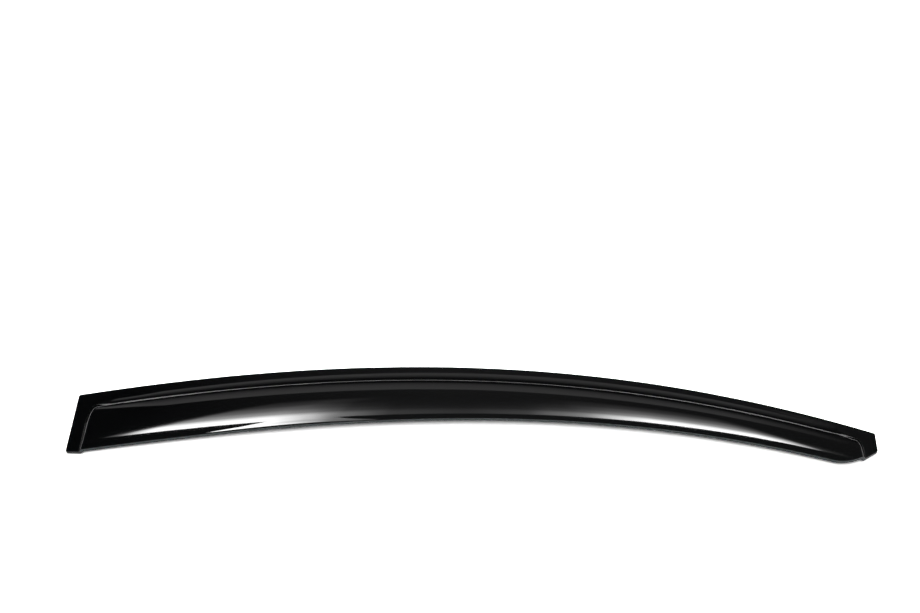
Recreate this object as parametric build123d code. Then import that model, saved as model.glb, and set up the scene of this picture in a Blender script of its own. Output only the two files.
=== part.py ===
from build123d import *
import os
from math import atan2, cos, degrees, radians, sin, sqrt, tan

# Stick-on rain deflector for a rear car door window, thermoformed from one acrylic sheet.
# X runs along the window from the tall front end to the slim rear tip, Y across the sheet from
# the free edge to the top edge, and Z up. The sheet lies on its ends with its outer face up.
# Lengths are in millimetres and angles in degrees.

# Sheet, and the radius of the door frame that it is bowed to
LENGTH = 881.0
THICKNESS = 4.0
BOW_RADIUS = 12000.0

# Top edge in plan: width of the front end, drop to the rear tip, and the arch between them
FRONT_WIDTH = 85.0
TOP_DROP = 56.0
TOP_ARCH_FRONT = 71.3
TOP_ARCH_REAR = 94.8

# Free edge in plan, from the foot of the front end to below the rear tip
FREE_DROP = 30.0
FREE_ARCH_FRONT = 55.2
FREE_ARCH_REAR = 93.8

# End cuts in plan
FRONT_RAKE = 1.6
FRONT_FOOT_TRIM = 4.0
REAR_RAKE = 6.3
TIP_WIDTH = 25.0
NOSE_ANGLE = 33.0
NOSE_RADIUS = 45.0
CORNER_RADIUS = 2.0

# Bonding flange along the top and the ends, the step up from it, and the crowned visor face
TOP_FLANGE_WIDTH = 18.0
END_FLANGE_WIDTH = 15.0
STEP_HEIGHT = 5.0
STEP_ANGLE = 35.0
END_STEP_ANGLE = 45.0
STEP_FOOT_RADIUS = 1.5
STEP_INNER_BEND = 1.2
STEP_CORNER_RADIUS = 12.0
FREE_EDGE_LIFT = 3.5
CROWN_TURN = 32.0

# Sections that the visor is formed through
SECTIONS = 13

HALF = LENGTH / 2
OUTER_RADIUS = BOW_RADIUS + THICKNESS
BOW_CENTRE_Z = -sqrt(BOW_RADIUS**2 - HALF**2)
STEP_RUN = 1 / tan(radians(STEP_ANGLE))
END_STEP_RUN = 1 / tan(radians(END_STEP_ANGLE))
SHOULDER_RADIUS = STEP_INNER_BEND + THICKNESS

# Stock past the finished outline, and past the free edge, that the last trim takes off
STOCK = FRONT_WIDTH / 2
OVERRUN = THICKNESS / 4

# The step is lowest where it runs out at the free edge, so the foot bend is limited by that wall
BEND_ROOM = 1.45
LOWEST_WALL = FREE_EDGE_LIFT / sin(radians(END_STEP_ANGLE))
BEND_LIMIT = LOWEST_WALL / (BEND_ROOM * tan(radians(END_STEP_ANGLE / 2)))
FOOT_RADIUS = min(STEP_FOOT_RADIUS, BEND_LIMIT - SHOULDER_RADIUS)


def control_heights(start, drop, arch_front, arch_rear):
    """Plan heights of the four evenly spaced control points of a cubic edge."""
    return (start, start - drop / 3 + arch_front, start - drop * 2 / 3 + arch_rear, start - drop)


TOP_EDGE = control_heights(FRONT_WIDTH, TOP_DROP, TOP_ARCH_FRONT, TOP_ARCH_REAR)
FREE_EDGE = control_heights(0, FREE_DROP, FREE_ARCH_FRONT, FREE_ARCH_REAR)


def plan_y(edge, x):
    """Plan height of a cubic edge at a place along the length."""
    u = x / LENGTH + 0.5
    v = 1 - u
    return v**3 * edge[0] + 3 * u * v**2 * edge[1] + 3 * u**2 * v * edge[2] + u**3 * edge[3]


def plan_curve(edge):
    """Cubic edge in plan, from the front end to the rear end."""
    return Bezier(*[(-HALF + i * LENGTH / 3, y) for i, y in enumerate(edge)])


def bow_z(x, radius=OUTER_RADIUS):
    """Height of a bowed face over the ends of the flange's underside."""
    return BOW_CENTRE_Z + sqrt(radius**2 - x**2)


def end_x(y, rear):
    """Place of the raked front or rear cut at a height in plan."""
    if rear:
        return HALF - (TOP_EDGE[-1] - y) * tan(radians(REAR_RAKE))
    return -HALF + (FRONT_WIDTH - y) * tan(radians(FRONT_RAKE))


def outline():
    """Finished outline in plan: both long edges, the raked ends, the front foot and the nose."""
    top = plan_curve(TOP_EDGE)
    free = plan_curve(FREE_EDGE)
    sheet = make_face(top + free + Line(top @ 0, free @ 0) + Line(top @ 1, free @ 1))
    low = -FREE_DROP - STOCK
    front_waste = Polyline((-HALF, FRONT_WIDTH), (-HALF, low), (end_x(low, False), low), close=True)
    rear_waste = Polyline((HALF, TOP_EDGE[-1]), (HALF, low), (end_x(low, True), low), close=True)
    step_x = end_x(0, False) + END_FLANGE_WIDTH + FREE_EDGE_LIFT * END_STEP_RUN
    step_foot = (step_x, plan_y(FREE_EDGE, step_x))
    foot_waste = Polyline((-HALF, FRONT_FOOT_TRIM), step_foot, (step_x, low), (-HALF, low), close=True)
    tip_y = TOP_EDGE[-1] - TIP_WIDTH * cos(radians(REAR_RAKE))
    tip = (end_x(tip_y, True), tip_y)
    nose_x = tip[0] - (tip_y - low) / tan(radians(NOSE_ANGLE))
    nose_waste = Polyline(tip, (nose_x, low), (HALF, low), (HALF, tip_y), close=True)
    for waste in (front_waste, rear_waste, foot_waste, nose_waste):
        sheet -= make_face(waste)
    sheet = fillet(sheet.vertices().sort_by(Axis.Y)[0], NOSE_RADIUS)
    corners = sheet.vertices().sort_by(Axis.X)
    return fillet(corners[:2] + corners[-2:], CORNER_RADIUS)


def section(x, inset):
    """Slice across the raised visor: step wall, crowned face and a root below the flange."""
    foot = plan_y(TOP_EDGE, x) - TOP_FLANGE_WIDTH
    shoulder = Vector(foot - STEP_HEIGHT * STEP_RUN, STEP_HEIGHT)
    edge = Vector(plan_y(FREE_EDGE, x), FREE_EDGE_LIFT)
    chord = edge - shoulder
    radius = chord.length / 2 / sin(radians(CROWN_TURN / 2))
    upward = Vector(chord.Y, -chord.X).normalized()
    centre = (shoulder + edge) / 2 - upward * radius * cos(radians(CROWN_TURN / 2))
    start = degrees(atan2(shoulder.Y - centre.Y, shoulder.X - centre.X))
    crown = CenterArc(centre, radius, start, CROWN_TURN + degrees((OVERRUN + inset) / radius))
    depth = 3 * THICKNESS
    front = crown @ 1
    root = Polyline(front, (front.X, -depth), (foot + depth * STEP_RUN, -depth), crown @ 0)
    slice_face = make_face(crown + root)
    if inset:
        slice_face = offset(slice_face, -inset, kind=Kind.INTERSECTION)
    return Plane((x, 0, bow_z(x)), x_dir=(0, 1, 0), z_dir=(1, 0, 0)) * slice_face


def end_wall(rear, inset):
    """Plane of the step wall along an end flange, facing away from the visor."""
    rake = radians(REAR_RAKE if rear else FRONT_RAKE)
    inward = -1 if rear else 1
    y = TOP_EDGE[-1] - TOP_FLANGE_WIDTH if rear else FRONT_WIDTH / 2
    x = end_x(y, rear) + inward * END_FLANGE_WIDTH / cos(rake)
    slope = -x / sqrt(OUTER_RADIUS**2 - x**2)
    lean = -inward * tan(rake)
    along = Vector(lean, 1, lean * slope)
    up = Vector(-slope, 0, 1).normalized()
    inner = along.cross(up).normalized() * inward
    outward = up * cos(radians(END_STEP_ANGLE)) - inner * sin(radians(END_STEP_ANGLE))
    return Plane(Vector(x, y, bow_z(x)) - outward * inset, x_dir=along, z_dir=outward)


def raised_visor(inset):
    """Raised part of the sheet as a solid, with its two blended corners."""
    reach = HALF + END_FLANGE_WIDTH
    pitch = 2 * reach / (SECTIONS - 1)
    visor = loft([section(-reach + i * pitch, inset) for i in range(SECTIONS)])
    for rear in (False, True):
        visor = split(visor, bisect_by=end_wall(rear, inset), keep=Keep.BOTTOM)
    corners = []
    for rear in (False, True):
        x = end_wall(rear, inset).origin.X
        y = plan_y(TOP_EDGE, x) - TOP_FLANGE_WIDTH - inset * sin(radians(STEP_ANGLE))
        corner = Vector(x, y, bow_z(x) - inset * cos(radians(STEP_ANGLE)))
        corners.append(visor.edges().sort_by_distance(corner)[0])
    return fillet(corners, STEP_CORNER_RADIUS - inset)


def bowed_stock(inset):
    """Block whose top is the bowed flange face."""
    radius = OUTER_RADIUS - inset
    reach = HALF + STOCK
    low = bow_z(reach, radius)
    arc = ThreePointArc((-reach, low), (0, bow_z(0, radius)), (reach, low))
    profile = make_face(arc + Polyline(arc @ 1, (reach, -STOCK), (-reach, -STOCK), arc @ 0))
    return extrude(Plane.XZ * profile, amount=FRONT_WIDTH + TOP_ARCH_REAR, both=True)


def step_edges(loop):
    """Edges of a loop round the visor, without the one along the free edge."""
    edges = loop.edges()
    open_side = edges.sort_by(SortBy.LENGTH)[-2:].sort_by(Axis.Y)[0]
    return [edge for edge in edges if edge is not open_side]


def formed_block(inset):
    """Everything below one face of the sheet: inset 0 for the outer face, a thickness for the inner."""
    block = bowed_stock(inset) + raised_visor(inset)
    deck = block.faces().filter_by(GeomType.CYLINDER).sort_by(SortBy.AREA)[-1]
    block = fillet(step_edges(deck.inner_wires()[0]), FOOT_RADIUS + inset)
    crown = block.faces().filter_by(GeomType.BSPLINE).sort_by(SortBy.AREA)[-1]
    return fillet(step_edges(crown.outer_wire()), SHOULDER_RADIUS - inset)


def rest_plane():
    """Plane through the underside corners that the bowed sheet stands on."""
    top_front = Vector(-HALF, FRONT_WIDTH, 0)
    top_rear = Vector(HALF, TOP_EDGE[-1], 0)
    foot_x = end_x(FRONT_FOOT_TRIM, False)
    foot = Vector(foot_x, FRONT_FOOT_TRIM, bow_z(foot_x, BOW_RADIUS))
    normal = (top_rear - foot).cross(top_front - foot)
    return Plane(foot, x_dir=(1, 0, 0), z_dir=normal)


def visor_sheet():
    """The finished sheet, laid on its ends with the origin under the middle of its box."""
    shell = formed_block(0) - formed_block(THICKNESS)
    trim = extrude(outline(), amount=STOCK + bow_z(0), both=True)
    sheet = rest_plane().to_local_coords(shell & trim)
    box = sheet.bounding_box()
    return Pos(-box.center().X, -box.center().Y, -box.min.Z) * sheet


os.makedirs("parts", exist_ok=True)
visor = visor_sheet()
visor.label = "visor"
export_step(visor, "parts/visor.step")
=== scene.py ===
from math import cos, pi, radians, sin, sqrt, tan

import bpy
import numpy as np
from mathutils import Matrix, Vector


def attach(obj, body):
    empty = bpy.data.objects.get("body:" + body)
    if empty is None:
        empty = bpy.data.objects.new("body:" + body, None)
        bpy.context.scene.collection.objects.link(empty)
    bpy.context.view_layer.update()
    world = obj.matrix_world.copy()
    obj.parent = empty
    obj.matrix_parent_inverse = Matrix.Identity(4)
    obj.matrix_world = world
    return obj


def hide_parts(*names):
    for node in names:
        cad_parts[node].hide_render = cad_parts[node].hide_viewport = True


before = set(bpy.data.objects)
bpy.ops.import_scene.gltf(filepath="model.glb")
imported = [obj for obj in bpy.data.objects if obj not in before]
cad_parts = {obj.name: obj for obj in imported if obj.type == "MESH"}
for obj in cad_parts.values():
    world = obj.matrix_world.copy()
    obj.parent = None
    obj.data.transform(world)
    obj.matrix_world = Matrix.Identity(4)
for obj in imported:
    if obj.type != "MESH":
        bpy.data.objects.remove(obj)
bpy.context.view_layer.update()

# Rain deflector for a rear car door window, lying on a white floor under studio light.
# X runs along the window from the tall front end to the slim rear tip, Y across the sheet from the
# free edge to the top edge, and Z up. The sheet is drawn in millimetres and the studio in metres.
MM = 0.001

# The sheet's sizes, as in the part's source
LENGTH = 881.0
THICKNESS = 4.0
BOW_RADIUS = 12000.0
FRONT_WIDTH = 85.0
TOP_DROP = 56.0
TOP_ARCH_FRONT = 71.3
TOP_ARCH_REAR = 94.8
FREE_DROP = 30.0
FREE_ARCH_FRONT = 55.2
FREE_ARCH_REAR = 93.8
FRONT_RAKE = radians(1.6)
FRONT_FOOT_TRIM = 4.0
REAR_RAKE = radians(6.3)
TIP_WIDTH = 25.0
NOSE_ANGLE = radians(33.0)
NOSE_RADIUS = 45.0
CORNER_RADIUS = 2.0
TOP_FLANGE_WIDTH = 18.0
END_FLANGE_WIDTH = 15.0
STEP_HEIGHT = 5.0
STEP_ANGLE = radians(35.0)
STEP_FOOT_RADIUS = 1.5
FREE_EDGE_LIFT = 3.5
CROWN_TURN = radians(32.0)

# Step as its highlights show it: steeper end walls, and a top wall that eases into both of its bends
END_STEP_ANGLE = radians(60.0)
END_SHOULDER = 5.0
SOFT_CORNER = 26.0
SOFT_SLOPE = 0.62
SOFT_SLOPE_GAIN = 0.07
SOFT_SHIFT = 0.8
SOFT_SHIFT_GAIN = -1.9
SOFT_SHOULDER = 26.0
SOFT_FOOT = 45.0

# Run-out of the crown past the shoulder, so that its arc does not cut into the flange
CROWN_RUNOUT = 6.0

# Lip, lifted a little along part of the free edge
CURL_REACH = 9.0
CURL_SLOPE = 0.09
CURL_START = -353.0
CURL_END = -60.0
CURL_EASE_IN = 192.0
CURL_EASE_OUT = 150.0

# Flange, flared up towards the step
FLARE_START = 5.0
FLARE_SHIFT = 3.5
FLARE_BEND = 18.8
FLARE_RADIUS = 54.0
FLARE_FADE = 80.0

# Broken cut edges, and the trims that keep the mesh just inside the solid's box
OUTER_BREAK = 0.45
INNER_BREAK = 0.3
BREAK_STEPS = 3
RIM_TRIM = 0.08
HEIGHT_TRIM = 0.999

HALF = LENGTH / 2
OUTER_RADIUS = BOW_RADIUS + THICKNESS
BOW_CENTRE_Z = -sqrt(BOW_RADIUS**2 - HALF**2)
STEP_RUN = 1 / tan(STEP_ANGLE)
END_STEP_RUN = 1 / tan(END_STEP_ANGLE)

# Small distance for slopes, and a number that keeps a divisor above nothing
PROBE = 0.01
TINY = 1e-9


def control_heights(start, drop, arch_front, arch_rear):
    """Plan heights of the four evenly spaced control points of a cubic edge."""
    return (start, start - drop / 3 + arch_front, start - drop * 2 / 3 + arch_rear, start - drop)


TOP_EDGE = control_heights(FRONT_WIDTH, TOP_DROP, TOP_ARCH_FRONT, TOP_ARCH_REAR)
FREE_EDGE = control_heights(0, FREE_DROP, FREE_ARCH_FRONT, FREE_ARCH_REAR)


def plan_y(edge, x):
    """Plan height of a cubic edge at places along the length."""
    u = x / LENGTH + 0.5
    v = 1 - u
    return v**3 * edge[0] + 3 * u * v**2 * edge[1] + 3 * u**2 * v * edge[2] + u**3 * edge[3]


def smooth(share):
    """Rises from 0 to 1 with level ends."""
    share = np.clip(share, 0, 1)
    return share**2 * (3 - 2 * share)


def bow_z(x, inset=0.0):
    """Height of the bowed flange face, or of one set below it."""
    return BOW_CENTRE_Z + np.sqrt((OUTER_RADIUS - inset)**2 - x**2)


def end_x(y, rear):
    """Place of the raked front or rear cut at a height in plan."""
    if rear:
        return HALF - (TOP_EDGE[-1] - y) * tan(REAR_RAKE)
    return -HALF + (FRONT_WIDTH - y) * tan(FRONT_RAKE)


# Faces of the sheet, each as a height over the plan, where an inset of 0 gives the outer face
def deck_face(inset):
    """Bonding flange, which curves up towards the step along the middle of the sheet."""
    def height(x, y):
        along = x / HALF
        past = np.maximum(plan_y(TOP_EDGE, x) - y - FLARE_START - FLARE_SHIFT * along**2, 0)
        bent = np.minimum(past, FLARE_BEND)
        rise = bent * (past - bent / 2) / FLARE_RADIUS
        return bow_z(x, inset) + rise * smooth((HALF - END_FLANGE_WIDTH - np.abs(x)) / FLARE_FADE)
    return height


def shoulder_y(x):
    """Plan height of the line where the step wall meets the crown."""
    shift = SOFT_SHIFT + SOFT_SHIFT_GAIN * x / HALF
    return plan_y(TOP_EDGE, x) - TOP_FLANGE_WIDTH - STEP_HEIGHT * STEP_RUN - shift


def top_wall(inset):
    """Step wall along the top flange, up to the shoulder."""
    def height(x, y):
        slope = SOFT_SLOPE + SOFT_SLOPE_GAIN * x / HALF
        drop = (y - shoulder_y(x)) * slope
        return bow_z(x) + STEP_HEIGHT - drop - inset * np.sqrt(1 + slope**2)
    return height


def end_wall(rear, inset):
    """Step wall along an end flange, a plane that leans with the raked cut."""
    rake = REAR_RAKE if rear else FRONT_RAKE
    inward = -1 if rear else 1
    y0 = TOP_EDGE[-1] - TOP_FLANGE_WIDTH if rear else FRONT_WIDTH / 2
    x0 = end_x(y0, rear) + inward * END_FLANGE_WIDTH / cos(rake)
    slope = -x0 / sqrt(OUTER_RADIUS**2 - x0**2)
    lean = -inward * tan(rake)
    up = Vector((-slope, 0, 1)).normalized()
    inner = Vector((lean, 1, lean * slope)).cross(up).normalized() * inward
    outward = up * cos(END_STEP_ANGLE) - inner * sin(END_STEP_ANGLE)
    z0 = bow_z(x0) - inset / outward.z

    def height(x, y):
        return z0 - ((x - x0) * outward.x + (y - y0) * outward.y) / outward.z
    return height


def lip_curl(x, inward):
    """Slight lift of the lip along a stretch of the free edge."""
    ends = smooth((x - CURL_START) / CURL_EASE_IN) * smooth((CURL_END - x) / CURL_EASE_OUT)
    reach = CURL_REACH * ends + TINY
    return CURL_SLOPE * reach / pi * (1 + np.cos(pi * np.clip(inward / reach, 0, 1)))


def crown_face(inset):
    """Crowned visor face, an arc across the sheet from the shoulder to the free edge."""
    def height(x, y):
        start_y = shoulder_y(x)
        edge_y = plan_y(FREE_EDGE, x)
        run = edge_y - start_y
        rise = FREE_EDGE_LIFT - STEP_HEIGHT
        chord = np.sqrt(run**2 + rise**2)
        radius = chord / 2 / sin(CROWN_TURN / 2)
        drop = radius * cos(CROWN_TURN / 2)
        centre_y = (start_y + edge_y) / 2 - drop * rise / chord
        centre_z = (STEP_HEIGHT + FREE_EDGE_LIFT) / 2 + drop * run / chord
        arc = np.sqrt(np.maximum((radius - inset)**2 - (y - centre_y)**2, 0))
        return bow_z(x) + centre_z + arc + lip_curl(x, y - edge_y)
    return height


def slopes(face, x, y, here):
    """Slopes of a face along X and Y."""
    return (face(x + PROBE, y) - here) / PROBE, (face(x, y + PROBE) - here) / PROBE


def joined(face, other, radius, upper):
    """The upper or the lower of two faces, with a parabola of that radius in the bend between them."""
    def height(x, y):
        a = face(x, y)
        b = other(x, y)
        ax, ay = slopes(face, x, y, a)
        bx, by = slopes(other, x, y, b)
        turn = (ax - bx)**2 + (ay - by)**2
        lean = ((ax + bx)**2 + (ay + by)**2) / 4
        bend = radius(x) if callable(radius) else radius
        reach = bend * turn / 2 / (1 + lean)**1.5 + TINY
        fill = np.maximum(reach - np.abs(a - b), 0)**2 / (4 * reach)
        return np.maximum(a, b) + fill if upper else np.minimum(a, b) - fill
    return height


def bend_radius(at_ends, along_top):
    """Radius of a bend round the step: tight along the end flanges and soft along the top flange."""
    def radius(x):
        from_wall = HALF - END_FLANGE_WIDTH - STEP_HEIGHT * END_STEP_RUN - np.abs(x)
        return at_ends + (along_top - at_ends) * smooth(from_wall / SOFT_CORNER)
    return radius


def sheet_face(inset):
    """One face of the formed sheet: the flange, the step round three sides and the crown."""
    corner = SOFT_CORNER - inset
    walls = joined(top_wall(inset), end_wall(False, inset), corner, False)
    walls = joined(walls, end_wall(True, inset), corner, False)
    foot = bend_radius(STEP_FOOT_RADIUS + inset, SOFT_FOOT + inset)
    step = joined(walls, deck_face(inset), foot, True)
    shoulder = bend_radius(END_SHOULDER - inset, SOFT_SHOULDER - inset)
    formed = joined(step, crown_face(inset), shoulder, False)

    def height(x, y):
        return np.where(y > shoulder_y(x) + CROWN_RUNOUT, step(x, y), formed(x, y))
    return height


# Outline in plan
STEP_X = end_x(0, False) + END_FLANGE_WIDTH + FREE_EDGE_LIFT * END_STEP_RUN
STEP_Y = plan_y(FREE_EDGE, STEP_X)
TIP_Y = TOP_EDGE[-1] - TIP_WIDTH * cos(REAR_RAKE)
TIP_X = end_x(TIP_Y, True)
REAR_STEP_X = TIP_X - END_FLANGE_WIDTH
HALVINGS = 60


def nose_arc():
    """Centre of the nose radius between the free edge and the nose cut, and where it starts."""
    near, far = 0.0, HALF
    for _ in range(HALVINGS):
        x = (near + far) / 2
        slope = (plan_y(FREE_EDGE, x + PROBE) - plan_y(FREE_EDGE, x - PROBE)) / (2 * PROBE)
        scale = NOSE_RADIUS / sqrt(1 + slope**2)
        centre = (x - slope * scale, plan_y(FREE_EDGE, x) + scale)
        inside = (centre[1] - TIP_Y) * cos(NOSE_ANGLE) - (centre[0] - TIP_X) * sin(NOSE_ANGLE)
        near, far = (x, far) if inside > NOSE_RADIUS else (near, x)
    return centre, x


NOSE_CENTRE, NOSE_START = nose_arc()
NOSE_END = NOSE_CENTRE[0] + NOSE_RADIUS * sin(NOSE_ANGLE)


def low_y(x):
    """Lower outline: the front foot, the free edge, the nose radius and the nose cut."""
    foot = FRONT_FOOT_TRIM + (STEP_Y - FRONT_FOOT_TRIM) * (x + HALF) / (STEP_X + HALF)
    rise = np.sqrt(np.maximum(NOSE_RADIUS**2 - (x - NOSE_CENTRE[0])**2, 0))
    cut = TIP_Y + (x - TIP_X) * tan(NOSE_ANGLE)
    y = np.where(x < STEP_X, foot, plan_y(FREE_EDGE, x))
    y = np.where(x > NOSE_START, NOSE_CENTRE[1] - rise, y)
    return np.where(x > NOSE_END, cut, y)


# Mesh grid: close together at the trimmed edges and over the step, wider on the plain faces
FIRST_ROW = 1.4
EDGE_ZONE = 4.0
FLANGE_ZONE = 14.0
STEP_MARGIN = 5.0
STEP_ZONE = TOP_FLANGE_WIDTH + STEP_HEIGHT * STEP_RUN + STEP_MARGIN
END_FLANGE_ZONE = 8.0
END_STEP_ZONE = 34.0
END_ZONE = 60.0
EDGE_ROWS = 5
FLANGE_ROWS = 14
STEP_ROWS = 44
CROWN_ROWS = 45
END_FLANGE_COLUMNS = 4
END_STEP_COLUMNS = 58
END_COLUMNS = 13
MIDDLE_COLUMNS = 189

# Width below which the rows draw together, passes that settle the grid, and points along a corner's sides
FULL_WIDTH = 42.0
GRID_PASSES = 8
CORNER_POINTS = 3


def runs(*parts):
    """Distances that rise through several evenly divided runs."""
    return np.concatenate([[0.0]] + [np.linspace(a, b, n + 1)[1:] for a, b, n in parts])


def row_heights(x, from_top, middle, from_low):
    """Plan heights of the grid's points, in rows from the top edge down to the lower outline."""
    top = plan_y(TOP_EDGE, x)
    low = low_y(x)
    share = np.minimum(1, (top - low) / FULL_WIDTH)
    upper = STEP_ZONE * share
    lower = top - low - EDGE_ZONE * share
    flange = slice(0, len(from_top))
    crown = slice(len(from_top), len(from_top) + len(middle))
    lip = slice(-len(from_low), None)
    y = np.empty_like(x)
    y[flange] = top[flange] - from_top[:, None] * share[flange]
    y[crown] = top[crown] - upper[crown] - (lower - upper)[crown] * middle[:, None]
    y[lip] = low[lip] + from_low[:, None] * share[lip]
    return y


def round_corner(plan, row, column):
    """Draws the grid's square corner in to the corner radius."""
    x, y = plan
    at = np.array([x[row, column], y[row, column]])
    beside = CORNER_POINTS if column == 0 else -1 - CORNER_POINTS
    below = CORNER_POINTS if row == 0 else -1 - CORNER_POINTS
    a = np.array([x[row, beside], y[row, beside]]) - at
    b = np.array([x[below, column], y[below, column]]) - at
    a, b = a / np.hypot(*a), b / np.hypot(*b)
    half_angle = np.arccos(a @ b) / 2
    tangent = CORNER_RADIUS / tan(half_angle)
    to_sides = np.linalg.inv(np.array([a, b]).T)
    p, q = np.einsum("ij,jkl->ikl", to_sides, np.array([x - at[0], y - at[1]]))
    u, v = 1 - p / tangent, 1 - q / tangent
    near = (u > 0) & (v > 0)
    shrink = np.where(near, np.maximum(u, v) / np.maximum(np.hypot(u, v), TINY), 1)
    p, q = tangent * (1 - u * shrink), tangent * (1 - v * shrink)
    return at[0] + p * a[0] + q * b[0], at[1] + p * a[1] + q * b[1]


def grid_plan():
    """Plan places of the grid's points, row 0 along the top edge and column 0 at the front end."""
    edge_rows = ((0, FIRST_ROW, 1), (FIRST_ROW, EDGE_ZONE, EDGE_ROWS))
    from_top = runs(*edge_rows, (EDGE_ZONE, FLANGE_ZONE, FLANGE_ROWS), (FLANGE_ZONE, STEP_ZONE, STEP_ROWS))
    middle = np.linspace(0, 1, CROWN_ROWS + 1)[1:-1]
    from_low = runs(*edge_rows)[::-1]
    from_end = runs(*edge_rows, (EDGE_ZONE, END_FLANGE_ZONE, END_FLANGE_COLUMNS),
                    (END_FLANGE_ZONE, END_STEP_ZONE, END_STEP_COLUMNS),
                    (END_STEP_ZONE, END_ZONE, END_COLUMNS))
    inner = np.linspace(END_ZONE, LENGTH - END_ZONE, MIDDLE_COLUMNS + 1)[1:-1]
    along = np.concatenate([from_end, inner, LENGTH - from_end[::-1]]) / LENGTH
    x = np.tile(-HALF + LENGTH * along, (len(from_top) + len(middle) + len(from_low), 1))
    for _ in range(GRID_PASSES):
        y = row_heights(x, from_top, middle, from_low)
        front = end_x(y, False)
        x = front + (end_x(y, True) - front) * along
    plan = (x, y)
    for row in (0, -1):
        for column in (0, -1):
            plan = round_corner(plan, row, column)
    return plan


def rim_order(rows, columns):
    """Indices of the grid's rim, anticlockwise from the front foot as seen from above."""
    index = np.arange(rows * columns).reshape(rows, columns)
    return np.concatenate([index[-1, :-1], index[:0:-1, -1], index[0, :0:-1], index[:-1, 0]])


def rim_places(x, y, rim):
    """Plan places of the cut edge, and the way out at each of them."""
    edge = np.array([x.ravel()[rim], y.ravel()[rim]])
    ahead = np.roll(edge, -1, axis=1) - np.roll(edge, 1, axis=1)
    out = np.array([ahead[1], -ahead[0]]) / np.hypot(*ahead)
    return edge - out * RIM_TRIM, out


def face_points(face, plan, rim, rim_place):
    """Points of one face of the sheet, with its rim where the broken edge starts."""
    x, y = plan[0].ravel().copy(), plan[1].ravel().copy()
    x[rim], y[rim] = rim_place
    return np.array([x, y, face(x, y)]).T


def cut_loops(outer_z, inner_z, edge, out):
    """Loops of points down the cut edge, between the rims of the outer and the inner face."""
    turns = np.linspace(0, pi / 2, BREAK_STEPS + 1)[1:]
    loops = []
    for turn in turns:
        place = edge - out * OUTER_BREAK * (1 - sin(turn))
        loops.append(np.array([*place, outer_z - OUTER_BREAK * (1 - cos(turn))]).T)
    for turn in turns[::-1]:
        place = edge - out * INNER_BREAK * (1 - sin(turn))
        loops.append(np.array([*place, inner_z + INNER_BREAK * (1 - cos(turn))]).T)
    return loops


def sheet_quads(rows, columns, rim, loop_count):
    """Quads of one side of the sheet, and the bands of quads round its cut edge from the top down."""
    count = rows * columns
    index = np.arange(count).reshape(rows, columns)
    side = np.array([index[1:, :-1], index[1:, 1:], index[:-1, 1:], index[:-1, :-1]]).reshape(4, -1).T
    rings = [2 * count + i * len(rim) + np.arange(len(rim)) for i in range(loop_count)]
    rings = [rim] + rings + [rim + count]
    bands = []
    for upper, lower in zip(rings, rings[1:]):
        bands.append(np.array([lower, np.roll(lower, -1), np.roll(upper, -1), upper]).T)
    return side, bands


def rest_matrix():
    """Axes and origin of the plane that the bowed sheet stands on."""
    top_front = Vector((-HALF, FRONT_WIDTH, 0))
    top_rear = Vector((HALF, TOP_EDGE[-1], 0))
    foot_x = end_x(FRONT_FOOT_TRIM, False)
    foot = Vector((foot_x, FRONT_FOOT_TRIM, bow_z(foot_x, THICKNESS)))
    up = (top_rear - foot).cross(top_front - foot).normalized()
    along = (Vector((1, 0, 0)) - up * up.x).normalized()
    return np.array([along, up.cross(along), up]), np.array(foot)


def laid(points):
    """Points of the sheet as it lies, with the origin under the middle of its box."""
    axes, foot = rest_matrix()
    points = (points - foot) @ axes.T
    low, high = points.min(axis=0), points.max(axis=0)
    points -= [(low[0] + high[0]) / 2, (low[1] + high[1]) / 2, low[2]]
    points[:, 2] *= HEIGHT_TRIM
    return points


def visor_mesh():
    """The whole sheet as one closed mesh, with material 1 on the sawn free edge."""
    plan = grid_plan()
    rows, columns = plan[0].shape
    rim = rim_order(rows, columns)
    edge, out = rim_places(*plan, rim)
    outer = face_points(sheet_face(0), plan, rim, edge - out * OUTER_BREAK)
    inner = face_points(sheet_face(THICKNESS), plan, rim, edge - out * INNER_BREAK)
    loops = cut_loops(outer[rim, 2], inner[rim, 2], edge, out)
    side, bands = sheet_quads(rows, columns, rim, len(loops))
    faces = np.concatenate([side, side[:, ::-1] + len(outer)] + bands)
    # Only the free edge between the steps is matt cut acrylic. The other cut edges keep the dark polished
    # acrylic, which also serves as painted shade where the flange lies on the floor.
    free_edge = (np.arange(len(rim)) < columns - 1) & (edge[0] > STEP_X) & (edge[0] < REAR_STEP_X)
    material = np.zeros(len(faces), int)
    material[2 * len(side) + BREAK_STEPS * len(rim):] = np.tile(free_edge, len(bands) - BREAK_STEPS)
    points = laid(np.concatenate([outer, inner] + loops))
    mesh = bpy.data.meshes.new("visor_sheet")
    mesh.from_pydata((points * MM).tolist(), [], faces.tolist())
    mesh.polygons.foreach_set("use_smooth", [True] * len(faces))
    mesh.polygons.foreach_set("material_index", material.tolist())
    mesh.update()
    return mesh


def placed(name, data):
    """A new object in the scene."""
    made = bpy.data.objects.new(name, data)
    bpy.context.scene.collection.objects.link(made)
    return made


# Node helpers
def new_material(name):
    """A material with its node tree."""
    material = bpy.data.materials.new(name)
    material.use_nodes = True
    return material, material.node_tree


def worked_out(tree, operation, *values):
    """A Math node's result, from numbers and other nodes' outputs."""
    node = tree.nodes.new("ShaderNodeMath")
    node.operation = operation
    for socket, value in zip(node.inputs, values):
        if isinstance(value, (int, float)):
            socket.default_value = value
        else:
            tree.links.new(value, socket)
    return node.outputs[0]


def graded(tree, value, stops):
    """A value read from a ramp of (place, level) stops."""
    ramp = tree.nodes.new("ShaderNodeValToRGB")
    elements = ramp.color_ramp.elements
    while len(elements) < len(stops):
        elements.new(0.5)
    top = max(level for _, level in stops)
    for element, (position, level) in zip(elements, stops):
        element.position = position
        element.color = (level / top, level / top, level / top, 1)
    tree.links.new(value, ramp.inputs["Fac"])
    return worked_out(tree, "MULTIPLY", ramp.outputs["Color"], top)


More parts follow.
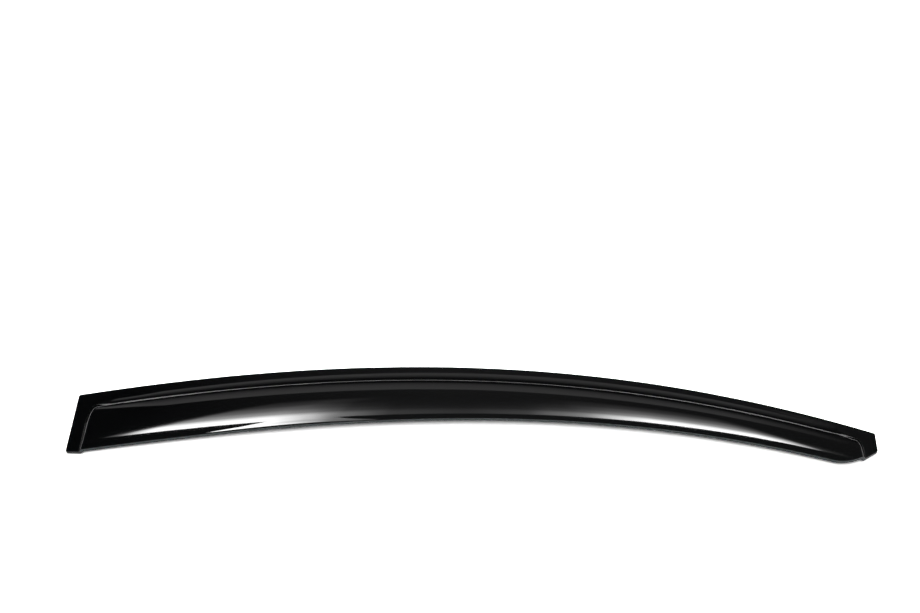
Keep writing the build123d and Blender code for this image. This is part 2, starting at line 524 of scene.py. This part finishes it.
def coordinates(tree, kind):
    """The X, Y and Z outputs of a kind of texture coordinate."""
    place = tree.nodes.new("ShaderNodeTexCoord")
    split = tree.nodes.new("ShaderNodeSeparateXYZ")
    tree.links.new(place.outputs[kind], split.inputs[0])
    return split.outputs


# Acrylic
ACRYLIC_IOR = 1.49
SMOKED_COLOUR = (0.0013, 0.0015, 0.0017, 1)
CUT_COLOUR = (0.022, 0.030, 0.031, 1)
NOISE_LOW = 0.3
NOISE_HIGH = 0.7


def acrylic(name, colour):
    """A material of one colour, with its node tree and shader."""
    material, tree = new_material(name)
    shader = tree.nodes["Principled BSDF"]
    shader.inputs["Base Color"].default_value = colour
    shader.inputs["IOR"].default_value = ACRYLIC_IOR
    return material, tree, shader


def noise(tree, scale, detail):
    """Noise in the object's own metres."""
    place = tree.nodes.new("ShaderNodeTexCoord")
    texture = tree.nodes.new("ShaderNodeTexNoise")
    texture.inputs["Scale"].default_value = scale
    texture.inputs["Detail"].default_value = detail
    tree.links.new(place.outputs["Object"], texture.inputs["Vector"])
    return texture.outputs["Fac"]


def roughen(tree, shader, value, low, high):
    """Spreads a noise value between two limits of roughness."""
    spread = tree.nodes.new("ShaderNodeMapRange")
    spread.inputs["From Min"].default_value = NOISE_LOW
    spread.inputs["From Max"].default_value = NOISE_HIGH
    spread.inputs["To Min"].default_value = low
    spread.inputs["To Max"].default_value = high
    tree.links.new(value, spread.inputs["Value"])
    tree.links.new(spread.outputs["Result"], shader.inputs["Roughness"])


def bump(tree, shader, height, distance, strength):
    """Adds a bump to a shader."""
    node = tree.nodes.new("ShaderNodeBump")
    node.inputs["Distance"].default_value = distance
    node.inputs["Strength"].default_value = strength
    tree.links.new(height, node.inputs["Height"])
    tree.links.new(node.outputs["Normal"], shader.inputs["Normal"])


def smoked_acrylic():
    """Polished near-black acrylic, with the faint waviness of a formed sheet."""
    material, tree, shader = acrylic("smoked_acrylic", SMOKED_COLOUR)
    roughen(tree, shader, noise(tree, scale=14, detail=3), low=0.03, high=0.06)
    bump(tree, shader, noise(tree, scale=22, detail=1), distance=0.0001, strength=1.0)
    return material


def cut_edge():
    """Sawn edge of the sheet, matt and a little green-grey."""
    material, tree, shader = acrylic("cut_edge", CUT_COLOUR)
    grain = noise(tree, scale=900, detail=2)
    roughen(tree, shader, grain, low=0.35, high=0.6)
    bump(tree, shader, grain, distance=0.0002, strength=0.4)
    return material


visor = placed("visor_sheet", visor_mesh())
visor.data.materials.append(smoked_acrylic())
visor.data.materials.append(cut_edge())
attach(visor, "root")
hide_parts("visor")


# Floor, with its plain colour and the colours that reflections and the camera see
FLOOR_REACH = 30.0
FLOOR_PLAIN = 0.8
FLOOR_REFLECTED = 0.95
FLOOR_SEEN = 1.95


def floor_material():
    """White paper, a little lighter in reflections and lifted to white where the camera sees it."""
    material, tree = new_material("white_floor")
    tree.nodes.remove(tree.nodes["Principled BSDF"])
    path = tree.nodes.new("ShaderNodeLightPath").outputs
    mirrored = worked_out(tree, "MAXIMUM", path["Is Glossy Ray"], path["Is Transmission Ray"])
    shade = worked_out(tree, "MULTIPLY_ADD", mirrored, FLOOR_REFLECTED - FLOOR_PLAIN, FLOOR_PLAIN)
    lifted = worked_out(tree, "MULTIPLY_ADD", path["Is Camera Ray"], FLOOR_SEEN - FLOOR_PLAIN, shade)
    paper = tree.nodes.new("ShaderNodeBsdfDiffuse")
    tree.links.new(lifted, paper.inputs["Color"])
    tree.links.new(paper.outputs[0], tree.nodes["Material Output"].inputs["Surface"])
    return material


def four_sided(name, corners):
    """A flat four-sided mesh of the studio, placed in the scene and not attached to the deflector's body.
    """
    mesh = bpy.data.meshes.new(name)
    mesh.from_pydata(corners, [], [(0, 1, 2, 3)])
    mesh.update()
    made = placed(name, mesh)
    return made


def oblong(reach, low, high):
    """Corners of an oblong that reaches as far to the left as to the right."""
    return (-reach, low), (reach, low), (reach, high), (-reach, high)


def lying(corners, z):
    """Corners given as (x, y), all at one height."""
    return [(x, y, z) for x, y in corners]


def standing(corners, y):
    """Corners given as (x, z), all at one distance behind the middle of the sheet."""
    return [(x, y, z) for x, z in corners]


floor = four_sided("floor", lying(oblong(FLOOR_REACH, -FLOOR_REACH, FLOOR_REACH), 0))
floor.data.materials.append(floor_material())


# Softboxes over the sheet, with corners as (x, y) and with levels from front to back and from left to right
BOX_HEIGHT = 1.5
BOX_BACK = 1.29
BOX_SEAM_FRONT = (0.0, 0.31)
BOX_SEAM_BACK = (0.0, BOX_BACK)
LEFT_BOX = ((-0.84, 0.38), BOX_SEAM_FRONT, BOX_SEAM_BACK, (-0.58, BOX_BACK))
RIGHT_BOX = (BOX_SEAM_FRONT, (0.80, 0.33), (0.84, BOX_BACK), BOX_SEAM_BACK)
BOX_FADE = ((0.0, 30), (0.13, 26), (0.19, 17), (0.26, 7.5), (0.43, 2.7), (0.67, 0.6), (1.0, 0.0))
LEFT_ACROSS = ((0.0, 0.01), (0.05, 0.06), (0.14, 1), (0.47, 1), (0.66, 0.14), (0.8, 0.03), (1.0, 0.018))
RIGHT_ACROSS = ((0.0, 0.018), (0.16, 0.035), (0.3, 0.16), (0.5, 1), (0.79, 1), (0.91, 0.02), (1.0, 0.0))

# Panels behind the sheet, with corners as (x, z) and with levels from the top down and from left to right
PANEL_BACK = 2.0
PANEL_SEAM_TOP = (-1.05, 1.36)
PANEL_SEAM_FOOT = (-1.05, 0.45)
MAIN_PANEL = (PANEL_SEAM_TOP, (1.5, 1.80), (1.5, 0.56), PANEL_SEAM_FOOT)
SIDE_PANEL = ((-1.27, 0.70), PANEL_SEAM_TOP, PANEL_SEAM_FOOT, (-1.27, 0.40))
PANEL_FADE = ((0.0, 0.6), (0.3, 0.46), (0.6, 0.16), (1.0, 0.04))
PANEL_ACROSS = ((0.0, 1), (0.8, 1), (1.0, 0.15))
EVEN = ((0.0, 1), (1.0, 1))

# Dark card behind the sheet, and a fill in front of it
CARD_REACH = 1.2
CARD_BACK = 0.6
CARD_HEIGHT = 0.2
CARD_LEVEL = ((0.0, 0.02), (1.0, 0.02))
FILL_PLACE = (0, -1.45, 2.6)
FILL_TILT = radians(29)
FILL_WIDTH = 2.4
FILL_DEPTH = 1.4
FILL_POWER = 60


def light_panel(name, corners, deep_stops, across_stops=EVEN, see_through=False):
    """A glowing four-sided panel, graded from its first side to the opposite one and along that side."""
    panel = four_sided(name, corners)
    panel.visible_camera = False
    uv = panel.data.uv_layers.new(name="panel")
    for corner, place in zip(uv.data, ((0, 0), (1, 0), (1, 1), (0, 1))):
        corner.uv = place
    material, tree = new_material(name)
    tree.nodes.remove(tree.nodes["Principled BSDF"])
    place = coordinates(tree, "UV")
    deep = graded(tree, place["Y"], deep_stops)
    across = graded(tree, place["X"], across_stops)
    glow = tree.nodes.new("ShaderNodeEmission")
    tree.links.new(worked_out(tree, "MULTIPLY", deep, across), glow.inputs["Strength"])
    surface = glow
    if see_through:
        surface = tree.nodes.new("ShaderNodeAddShader")
        tree.links.new(glow.outputs[0], surface.inputs[0])
        tree.links.new(tree.nodes.new("ShaderNodeBsdfTransparent").outputs[0], surface.inputs[1])
    tree.links.new(surface.outputs[0], tree.nodes["Material Output"].inputs["Surface"])
    panel.data.materials.append(material)
    return panel


def front_fill():
    """Area lamp in front of the sheet, which its gloss doesn't show."""
    lamp = bpy.data.lights.new("front_fill", "AREA")
    lamp.shape = "RECTANGLE"
    lamp.size = FILL_WIDTH
    lamp.size_y = FILL_DEPTH
    lamp.energy = FILL_POWER
    fill = placed("front_fill", lamp)
    fill.location = FILL_PLACE
    fill.rotation_euler = (FILL_TILT, 0, 0)
    fill.visible_glossy = False


light_panel("softbox_left", lying(LEFT_BOX, BOX_HEIGHT), BOX_FADE, LEFT_ACROSS, see_through=True)
light_panel("softbox_right", lying(RIGHT_BOX, BOX_HEIGHT), BOX_FADE, RIGHT_ACROSS, see_through=True)
light_panel("back_panel", standing(MAIN_PANEL, PANEL_BACK), PANEL_FADE, PANEL_ACROSS)
light_panel("back_panel_side", standing(SIDE_PANEL, PANEL_BACK), PANEL_FADE)
card = light_panel("dark_card", standing(oblong(CARD_REACH, 0, CARD_HEIGHT), CARD_BACK), CARD_LEVEL)
card.visible_diffuse = False
card.visible_shadow = False
front_fill()


# World
ROOM_STOPS = ((0.0, 0.02), (0.35, 0.01), (0.37, 0.03), (0.41, 0.07), (0.5, 0.13), (0.59, 0.10), (1.0, 0.07))
HORIZON_STOPS = ((0.0, 1.0), (0.2, 1.0), (0.24, 0.0), (1.0, 0.0))


def studio_world():
    """Dim room over a pale horizon, dimmer towards both sides."""
    world = bpy.data.worlds.new("studio")
    world.use_nodes = True
    tree = world.node_tree
    place = coordinates(tree, "Generated")
    across = tree.nodes.new("ShaderNodeMapRange")
    across.inputs["From Min"].default_value = -1
    tree.links.new(place["X"], across.inputs["Value"])
    room = graded(tree, across.outputs["Result"], ROOM_STOPS)
    horizon = graded(tree, place["Z"], HORIZON_STOPS)
    tree.links.new(worked_out(tree, "MAXIMUM", room, horizon), tree.nodes["Background"].inputs["Color"])
    bpy.context.scene.world = world


studio_world()


# Camera
CAMERA_PLACE = (-0.0127, -0.9224, 1.0804)
CAMERA_PITCH = radians(44.5)
LENS_LENGTH = 50
SENSOR_WIDTH = 36
lens = bpy.data.cameras.new("camera")
lens.lens = LENS_LENGTH
lens.sensor_width = SENSOR_WIDTH
camera = placed("camera", lens)
camera.location = CAMERA_PLACE
camera.rotation_euler = (pi / 2 - CAMERA_PITCH, 0, 0)
bpy.context.scene.camera = camera
bpy.context.scene.view_settings.view_transform = "Standard"
